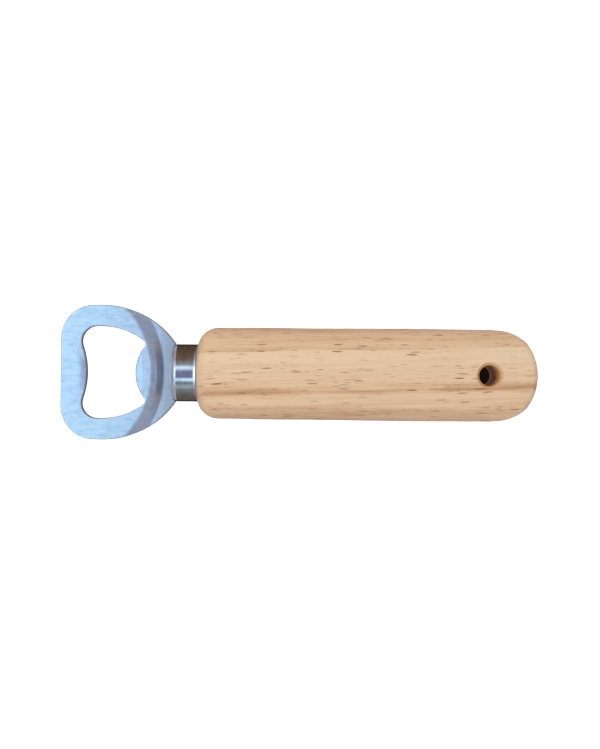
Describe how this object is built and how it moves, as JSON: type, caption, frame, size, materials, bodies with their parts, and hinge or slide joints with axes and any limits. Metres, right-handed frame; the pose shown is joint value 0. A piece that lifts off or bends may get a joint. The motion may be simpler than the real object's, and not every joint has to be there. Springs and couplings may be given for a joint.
{
  "type": "bottle opener",
  "caption": "Hand-held bottle opener: pressed steel ring head with a lip and a bent tongue, crowned steel ferrule and a rounded wooden grip with a hang hole.",
  "frame": {"origin": "the middle of the bounding box at its lowest face, which is the plane of the grip's flat underside", "axes": "+X from the head to the tail, +Z out of the grip's flat top, +Y across the opener"},
  "size_m": [0.16, 0.0456, 0.023],
  "materials": {
    "head_steel": "fine satin, faint tumbling marks, edges broken",
    "ferrule_steel": "polished drawn steel",
    "grip_wood": "sanded pale open-pored hardwood with a thin matt oil finish",
    "adhesive": "cured amber epoxy"
  },
  "bodies": {
    "root": {"opener_head": "head_steel", "ferrule": "ferrule_steel", "grip": "grip_wood", "tang_adhesive": "adhesive"}
  },
  "joints": []
}
